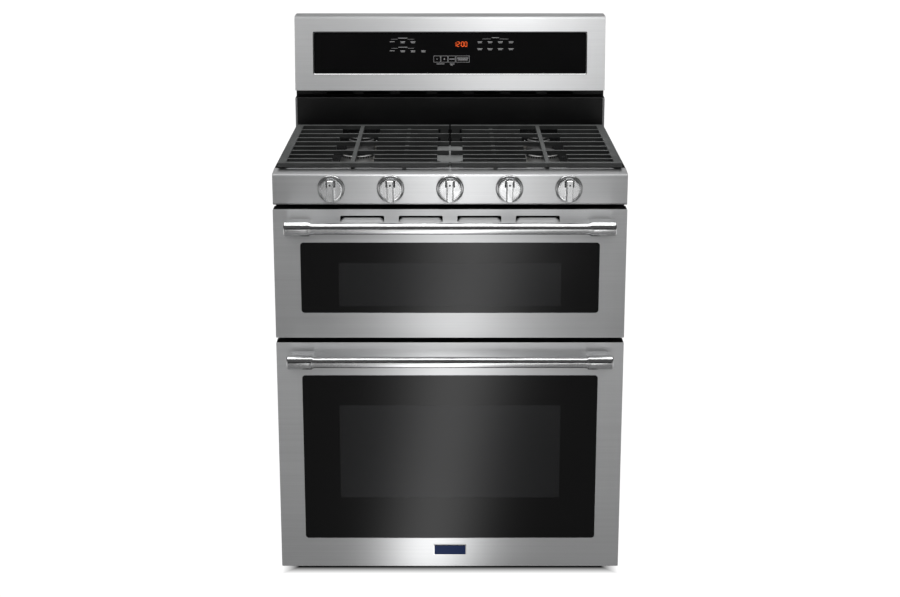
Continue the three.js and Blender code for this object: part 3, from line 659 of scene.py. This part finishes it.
def add_screws():
    """The screws of the back panel, the side panels and the door liners."""
    back = Shape()
    for x in (-0.365, -0.18, 0.0, 0.18, 0.365):
        for z in (0.04, 0.882):
            screw(back, (x, BACK_FACE, z), "+Y")
    for x in (-0.365, 0.365):
        for z in (0.25, 0.46, 0.67):
            screw(back, (x, BACK_FACE, z), "+Y")
    back.make("back_panel_screws", "zinc", "cabinet")
    for side, sign in (("left", -1), ("right", 1)):
        heads = Shape()
        for y in (-0.22, 0.05, 0.33):
            for z in (0.045, 0.875):
                screw(heads, (sign * 0.378, y, z), "X" if sign > 0 else "-X", 0.0035, 0.0012)
        heads.make(f"side_screws_{side}", "zinc", "cabinet")
    for side in ("upper", "lower"):
        door = DOORS[side]
        heads = Shape()
        for x in (-0.24, 0.0, 0.24):
            for z in (door["low"] + 0.016, door["high"] - 0.016):
                screw(heads, (x, DOOR_BACK, z), "+Y", 0.0035, 0.002)
        heads.make(side + "_door_liner_screws", "zinc", side + "_door")


def add_oven_lamp(side):
    """A white glass dome in a steel ring on the back wall of a cavity."""
    place = (LAMP_X, CAVITY_BACK, OVENS[side]["ceiling"] - LAMP_BELOW_CEILING)
    radius = LAMP_RADIUS
    ring = Shape()
    profile = [(radius, 0.0), (radius + 0.009, 0.0), (radius + 0.009, 0.002)]
    profile += [(radius + 0.007, 0.004), (radius + 0.0015, 0.004), (radius + 0.0005, 0.002)]
    ring.turned(profile, place, "-Y", 36)
    ring.make(side + "_oven_lamp_ring", "zinc", "cabinet")
    dome = Shape()
    profile = [(radius, 0.0)]
    for i in range(9):
        t = math.pi / 2 * i / 9
        profile.append((radius * math.cos(t), 0.002 + 0.015 * math.sin(t)))
    profile.append((0.0005, 0.017))
    dome.turned(profile, place, "-Y", 36)
    dome.make(side + "_oven_lamp_lens", "ceramic", "cabinet")


def add_burner_details():
    """Flame ports round each head, drawn as dark slabs of painted shade where the port openings are, and a
    spark igniter beside it.
    """
    for name, (x, y, radius) in BURNERS.items():
        # Each port is a dark slab: painted shade standing in for the opening.
        ports = Shape()
        count = round(radius * 1000) + 1
        for i in range(count):
            t = 2 * math.pi * (i + 0.5) / count
            out = Vector((math.cos(t), math.sin(t), 0.0))
            across = Vector((-math.sin(t), math.cos(t), 0.0)) * PORT_WIDTH / 2
            base = Vector((x, y, PORT_LOW)) + out * (radius + HEAD_OUT - 0.0010)
            tip = base + out * 0.00125
            rise = Vector((0.0, 0.0, PORT_HEIGHT))
            ring = [base - across, tip - across, tip + across, base + across]
            ports.skin([ring, [p + rise for p in ring]])
        ports.make(f"flame_ports_{name}", "dark", "cabinet")
        inward = -math.copysign(radius + 0.0145, x)
        add_igniter(name, x + inward * 0.86, y - 0.012)
    ports = Shape()
    wall = OVAL["radius"] + HEAD_OUT
    for sign in (-1, 1):
        x0, x1 = sorted((sign * (wall - 0.001), sign * (wall + 0.00025)))
        for i in range(-9, 10):
            y = OVAL["y"] + i * OVAL["half"] / 9
            low = (x0, y - PORT_WIDTH / 2, PORT_LOW)
            ports.slab(low, (x1, y + PORT_WIDTH / 2, PORT_LOW + PORT_HEIGHT))
    ports.make("flame_ports_centre", "dark", "cabinet")
    add_igniter("centre", 0.046, OVAL["y"] + 0.03)


def add_igniter(name, x, y):
    """A ceramic post on the well floor with a short metal electrode."""
    post = Shape()
    profile = [(0.0004, 0.0), (0.0042, 0.0), (0.0042, 0.0045), (0.0028, 0.0056), (0.0028, 0.0125)]
    profile += [(0.0022, 0.0134), (0.0004, 0.0134)]
    post.turned(profile, (x, y, WELL_FLOOR), "Z", 20)
    post.make(f"igniter_{name}", "ceramic", "cabinet")
    tip = Shape()
    profile = [(0.0003, 0.0134), (0.0011, 0.0134), (0.0011, 0.0166), (0.0003, 0.0174)]
    tip.turned(profile, (x, y, WELL_FLOOR), "Z", 12)
    tip.make(f"igniter_tip_{name}", "zinc", "cabinet")


def on_console(x, up, out=0.0):
    """A point on the sloping console face: across, up the slope and proud of it."""
    sin, cos = math.sin(CONSOLE_TILT), math.cos(CONSOLE_TILT)
    return CONSOLE_ORIGIN + Vector((x, up * sin - out * cos, up * cos + out * sin))


class Print(Shape):
    """Flat marks a fifth of a millimetre thick on the control glass, placed by x and height z."""

    def bar(self, x, z, width, height, raised=0.0):
        cos = math.cos(CONSOLE_TILT)
        up = (z - CONSOLE_ORIGIN.z) / cos
        out = CONSOLE_GLASS["out"] + raised
        corners = [(x - width / 2, up - height / 2), (x + width / 2, up - height / 2),
                   (x + width / 2, up + height / 2), (x - width / 2, up + height / 2)]
        lifts = (0.00002, PRINT_THICKNESS)
        self.skin([[on_console(a, b, out + lift) for a, b in corners] for lift in lifts])

    def key(self, x, z, width, height, line=0.0005):
        """The outline of a key."""
        for sign in (-1, 1):
            self.bar(x, z + sign * (height - line) / 2, width, line)
            self.bar(x + sign * (width - line) / 2, z, line, height - 2.2 * line)

    def words(self, x, z, length, height=0.0013):
        """Unreadable stand-in for a word: short strokes of uneven width in a row."""
        widths = (0.0013, 0.0009, 0.0015, 0.0011)
        place = x - length / 2
        index = 0
        while place < x + length / 2:
            width = widths[index % 4]
            self.bar(place + width / 2, z, width, height)
            place += width + 0.0004
            index += 1


SEGMENTS = {
    "0": "abcdef",
    "1": "bc",
    "2": "abged",
}


def add_digit(shape, figure, x, z, width=0.0054, height=0.0112, line=0.0011):
    """One seven-segment figure."""
    half = height / 2
    bars = {
        "a": (0.0, half, width, line),
        "b": (width / 2, half / 2, line, half * 0.8),
        "c": (width / 2, -half / 2, line, half * 0.8),
        "d": (0.0, -half, width, line),
        "e": (-width / 2, -half / 2, line, half * 0.8),
        "f": (-width / 2, half / 2, line, half * 0.8),
        "g": (0.0, 0.0, width, line),
    }
    for segment in SEGMENTS[figure]:
        a, b, wide, tall = bars[segment]
        shape.bar(x + a, z + b, wide - (line * 1.3 if wide > line else 0.0), tall, 0.0001)


def add_label(marks, x, z, widths=(WORD_WIDTH, SMALL_WORD_WIDTH)):
    """The lines of one label, set under each other."""
    for row, width in enumerate(widths):
        marks.words(x, z - row * LINE_STEP, width)


def add_console_print():
    """Generic marks on the glass: two groups of labels, four keys, and a clock in its window."""
    marks = Print()
    left_x = -0.115
    columns = (-0.1407, left_x, -0.0903, -0.065)
    for title_z, count in ((1.1375, 3), (1.1158, 4)):
        marks.words(left_x, title_z, 0.021)
        for sign in (-1, 1):
            marks.bar(left_x + sign * 0.020, title_z - LINE_STEP, 0.046 / 3, HAIRLINE)
        for index, x in enumerate(columns[:count]):
            add_label(marks, x, title_z - 0.0085, (WORD_WIDTH, SMALL_WORD_WIDTH)[:index + 1])
    marks.words(0.110, 1.1385, 0.017)
    for x in (0.0723, 0.097, 0.122, 0.148):
        add_label(marks, x, 1.1290)
        add_label(marks, x, 1.1125, (0.0115, 0.0090))
    for x0, x1 in ((0.078, 0.099), (0.121, 0.142)):
        marks.bar((x0 + x1) / 2, 1.1355, x1 - x0, HAIRLINE)
    minus_x, plus_x, short_x, long_x = -0.0315, -0.0138, 0.0045, 0.0310
    for x, width in ((minus_x, 0.0165), (plus_x, 0.0165), (short_x, 0.0175), (long_x, 0.0330)):
        marks.key(x, KEY_Z, width, KEY_HEIGHT)
    for x in (minus_x, plus_x):
        marks.bar(x, KEY_Z, 0.0042, 0.0009)
    for sign in (-1, 1):
        marks.bar(plus_x, KEY_Z + sign * 0.00125, 0.0009, 0.0015)
    marks.words(short_x, KEY_Z, 0.0115, 0.0018)
    marks.words(long_x, KEY_Z + 0.0023, 0.0270, 0.0018)
    marks.words(long_x, KEY_Z - 0.0019, 0.0240, 0.0018)
    under = KEY_Z - 0.0117
    marks.words(-0.0230, under, 0.0190)
    add_label(marks, short_x, under, (0.0095, 0.0060))
    marks.make("console_print", "print", "cabinet")
    window = Print()
    window.bar(0.0115, CLOCK_Z, 0.0640, 0.0225)
    window.make("display_window", "display", "cabinet")
    clock = Print()
    for figure, x in (("1", 0.0120), ("2", 0.0200), ("0", 0.0305), ("0", 0.0385)):
        add_digit(clock, figure, x, CLOCK_Z)
    for sign in (-1, 1):
        clock.bar(0.0252, CLOCK_Z + sign * 0.0025, 0.0011, 0.0011, 0.0001)
    clock.make("clock_digits", "digits", "cabinet")


def add_console_rim():
    """The bright bevelled frame round the control glass."""
    half, low, high = (CONSOLE_GLASS[key] for key in ("half", "low", "high"))
    rim = Shape()
    sizes = [(0.0022, 0.0000), (0.0020, 0.0007), (0.0008, 0.0011), (-0.0001, 0.0003), (-0.0001, 0.0)]
    rings = []
    for grow, out in sizes:
        loop = rounded_loop(-half - grow, half + grow, low - grow, high + grow, 0.0035, 4)
        rings.append([on_console(x, up, out) for x, up in loop])
    rings.append(rings[0])
    rim.skin(rings, ends=False)
    rim.make("control_glass_rim", "chrome", "cabinet")


def add_riser_trim():
    """A steel edge at each side of the riser, and the two clips at its foot."""
    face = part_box("console_riser")[0].y
    for side, sign in (("left", -1), ("right", 1)):
        strip = Shape()
        x0, x1 = sorted((sign * 0.3725, sign * 0.3774))
        strip.slab((x0, face - 0.0014, 0.9226), (x1, face - 0.0001, 0.9945))
        strip.make(f"riser_edge_{side}", "stainless", "cabinet", 0.0004)
        clip = Shape()
        x = sign * 0.076
        clip.slab((x - 0.006, face - 0.0080, 0.9221), (x + 0.006, face - 0.0016, 0.9245))
        clip.make(f"riser_clip_{side}", "chrome", "cabinet", 0.0005)


def add_gas_inlet():
    """A collar on the supply pipe where it leaves the back panel, and a blank rating plate."""
    collar = Shape()
    place = (GAS_INLET["x"], BACK_FACE, GAS_INLET["z"])
    inner = GAS_INLET["radius"]
    outer = inner + 0.0035
    collar.turned([(inner, -0.002), (outer, -0.002), (outer, 0.0015), (inner, 0.0015)], place, "+Y", 32)
    collar.make("gas_inlet_collar", "brass", "cabinet")
    plate = Shape()
    plate.slab((-0.300, FRAME_FRONT - 0.0005, 0.516), (-0.235, FRAME_FRONT - 0.0001, 0.546))
    plate.make("rating_plate_blank", "zinc", "cabinet")


for k in range(1, 6):
    add_knob(k)
add_badge()
add_vent_lips()
for side in ("upper", "lower"):
    add_door_trim(side)
    add_gasket(side)
    add_inner_pane(side)
    add_oven_lamp(side)
add_screws()
add_burner_details()
add_console_print()
add_console_rim()
add_riser_trim()
add_gas_inlet()


# ---- stage: floor, lights and camera ----
WHITE = (1.0, 1.0, 1.0, 1.0)
PAPER_WHITE = 1.05  # strength that makes the floor and the background plain white
FLOOR_HALF = 30.0
DOOR_HALF = 0.379
# A light's own place, what it points at, and its width and height.
ABOVE = {"place": (0.0, 0.2, 3.4), "target": (0.0, 0.2, 0.5), "size": (3.4, 2.6)}
AHEAD = {"place": (0.0, -5.2, 2.9), "target": (0.0, 0.0, 0.8), "size": (7.0, 3.2)}
CONSOLE_STRIP = {"place": (0.39, -4.9, 4.2), "target": (0.1, 0.28, 1.1), "size": (0.42, 2.6)}
PANEL_STRIP = {"place": (0.04, -4.9, 4.2), "target": (0.04, -0.3, 0.9), "size": (0.3, 2.6)}
LOW_AHEAD = {"place": (0.0, -3.2, 0.35), "target": (0.0, 0.0, 0.3), "size": (6.0, 0.6)}


def add_floor():
    """A white floor: a painted shadow under the range, where a dark floor colour, darkened further by real
    shading, fades to plain white at the range's outline, and plain white beyond it. Reflections see another
    floor, dark with a soft bright path in front."""
    mesh = bpy.data.meshes.new("floor")
    corners = [(x * FLOOR_HALF, y * FLOOR_HALF, 0) for x, y in ((-1, -1), (1, -1), (1, 1), (-1, 1))]
    mesh.from_pydata(corners, [], [(0, 1, 2, 3)])
    floor = bpy.data.objects.new("floor", mesh)
    bpy.context.scene.collection.objects.link(floor)
    g = Graph("floor_paper")
    # The dark colour under the range is a painted shadow; real shading darkens it further.
    g.set(Base_Color=(0.05, 0.05, 0.05, 1.0), Roughness=0.9, Specular_IOR_Level=0.1)
    x = g.axis("X")
    y = g.axis("Y")
    outside = g.calc("MAXIMUM", g.calc("SUBTRACT", g.calc("ABSOLUTE", x), DOOR_HALF),
                     g.calc("SUBTRACT", g.calc("ABSOLUTE", y), -FACE))
    white = g.add("Emission", {"Color": WHITE, "Strength": PAPER_WHITE})
    # Fades the painted shadow into plain white at the range's outline.
    shadow_edge = g.spread(outside, 0.0, 1.0, -0.034, 0.002)
    seen = g.add("MixShader", {0: shadow_edge, 1: g.shader.outputs[0], 2: white.outputs[0]})

    # The path drifts to the right and widens with the distance ahead of the doors.
    ahead = g.calc("SUBTRACT", FACE, y)
    middle = g.calc("ADD", g.calc("MULTIPLY", ahead, 0.045), -0.050)
    width = g.calc("ADD", g.calc("MULTIPLY", g.calc("MAXIMUM", ahead, 0.0), 0.032), 0.105)
    across = g.calc("DIVIDE", g.calc("SUBTRACT", x, middle), width)
    bell = g.calc("POWER", math.e, g.calc("MULTIPLY", g.calc("MULTIPLY", across, across), -1.0))
    path = g.calc("MULTIPLY", bell, g.spread(ahead, 1.95, 2.9, 0.0, 4.6))
    fade = g.spread(ahead, 0.0, 1.0, -0.1, 0.1)

    # Far to the sides the floor is bright again.
    reach = g.calc("ADD", g.calc("MULTIPLY", ahead, 0.3), 0.75)
    aside = g.calc("SUBTRACT", g.calc("ABSOLUTE", x), g.calc("MAXIMUM", reach, 0.0))
    sides = g.spread(aside, 0.2, 0.62, 0.0, 0.8)
    strength = g.calc("ADD", g.calc("MULTIPLY", path, fade), sides)
    glow = g.add("Emission", {"Color": WHITE, "Strength": strength})
    direct = g.add("LightPath").outputs["Is Camera Ray"]
    whole = g.add("MixShader", {0: direct, 1: glow.outputs[0], 2: seen.outputs[0]})
    g.tree.links.new(whole.outputs[0], g.output.inputs["Surface"])
    g.material.cycles.emission_sampling = "NONE"
    mesh.materials.append(g.material)


def add_light(name, power, place, target, size):
    """A soft area light that points at its target."""
    data = bpy.data.lights.new(name, "AREA")
    data.shape = "RECTANGLE"
    data.size, data.size_y = size
    data.energy = power
    light = bpy.data.objects.new(name, data)
    light.location = place
    light.rotation_euler = (Vector(target) - Vector(place)).to_track_quat("-Z", "Y").to_euler()
    light.visible_camera = False
    bpy.context.scene.collection.objects.link(light)
    return light


def lit_by(light, pieces, state):
    """Keeps a light to some pieces (INCLUDE), or away from them (EXCLUDE), as a studio flag would."""
    group = bpy.data.collections.new(light.name + "_receivers")
    for name in pieces:
        group.objects.link(NODES.get(name) or bpy.data.objects[name])
    for member in group.collection_objects:
        member.light_linking.link_state = state
    light.light_linking.receiver_collection = group


def add_world():
    """White behind the range; what it reflects is dim at eye level and behind, and bright overhead."""
    world = bpy.data.worlds.new("studio")
    world.use_nodes = True
    tree = world.node_tree
    ground = tree.nodes["Background"]
    coords = tree.nodes.new("ShaderNodeTexCoord")
    axes = tree.nodes.new("ShaderNodeSeparateXYZ")
    tree.links.new(coords.outputs["Generated"], axes.inputs[0])

    def ramp(source, *ends):
        node = tree.nodes.new("ShaderNodeMapRange")
        tree.links.new(source, node.inputs["Value"])
        for key, value in zip(("From Min", "From Max", "To Min", "To Max"), ends):
            node.inputs[key].default_value = value
        return node.outputs["Result"]

    rise = ramp(axes.outputs["Z"], 0.12, 0.5, 0.25, 1.5)
    rear = ramp(axes.outputs["Y"], -0.2, 0.6, 1.0, 0.4)
    strength = tree.nodes.new("ShaderNodeMath")
    strength.operation = "MULTIPLY"
    tree.links.new(rise, strength.inputs[0])
    tree.links.new(rear, strength.inputs[1])
    width = tree.nodes.new("ShaderNodeMath")
    width.operation = "ABSOLUTE"
    tree.links.new(axes.outputs["X"], width.inputs[0])
    total = tree.nodes.new("ShaderNodeMath")
    tree.links.new(strength.outputs[0], total.inputs[0])
    tree.links.new(ramp(width.outputs[0], 0.3, 0.8, 0.0, 0.35), total.inputs[1])
    tree.links.new(total.outputs[0], ground.inputs["Strength"])
    white = tree.nodes.new("ShaderNodeBackground")
    white.inputs["Color"].default_value = WHITE
    white.inputs["Strength"].default_value = PAPER_WHITE
    path = tree.nodes.new("ShaderNodeLightPath")
    mix = tree.nodes.new("ShaderNodeMixShader")
    tree.links.new(path.outputs["Is Camera Ray"], mix.inputs[0])
    tree.links.new(ground.outputs[0], mix.inputs[1])
    tree.links.new(white.outputs[0], mix.inputs[2])
    tree.links.new(mix.outputs[0], tree.nodes["World Output"].inputs["Surface"])
    bpy.context.scene.world = world


def add_camera():
    """A long lens at standing height, level from side to side and tilted down."""
    data = bpy.data.cameras.new("camera")
    data.lens = 69.46
    data.sensor_width = 36.0
    camera = bpy.data.objects.new("camera", data)
    camera.location = (0.0, FACE - 3.635, 1.626)
    camera.rotation_euler = (math.radians(90 - 15.11), 0.0, 0.0)
    bpy.context.scene.collection.objects.link(camera)
    bpy.context.scene.camera = camera


add_floor()
add_world()
overhead = add_light("overhead", 95.0, **ABOVE)
lit_by(overhead, ("control_panel", "console_housing"), "EXCLUDE")
overhead_steel = add_light("overhead_steel", 36.0, **ABOVE)
lit_by(overhead_steel, ("control_panel", "console_housing"), "INCLUDE")
console_strip = add_light("console_strip", 34.0, **CONSOLE_STRIP)
lit_by(console_strip, ("console_housing",), "INCLUDE")
panel_strip = add_light("panel_strip", 62.0, **PANEL_STRIP)
lit_by(panel_strip, ("control_panel",), "INCLUDE")
panel_fill = add_light("panel_fill", 24.0, **AHEAD)
lit_by(panel_fill, ("control_panel",), "INCLUDE")
front_fill = add_light("front_fill", 75.0, **AHEAD)
steel = ["console_housing", "upper_door_skin", "lower_door_skin"]
lit_by(front_fill, steel + [f"vent_lip_{index + 1}" for index in range(len(VENTS["x"]))], "INCLUDE")
low_fill = add_light("low_fill", 9.0, **LOW_AHEAD)
lit_by(low_fill, ("lower_door_skin",), "INCLUDE")
add_camera()
scene = bpy.context.scene
scene.view_settings.view_transform = "Standard"
scene.view_settings.look = "None"
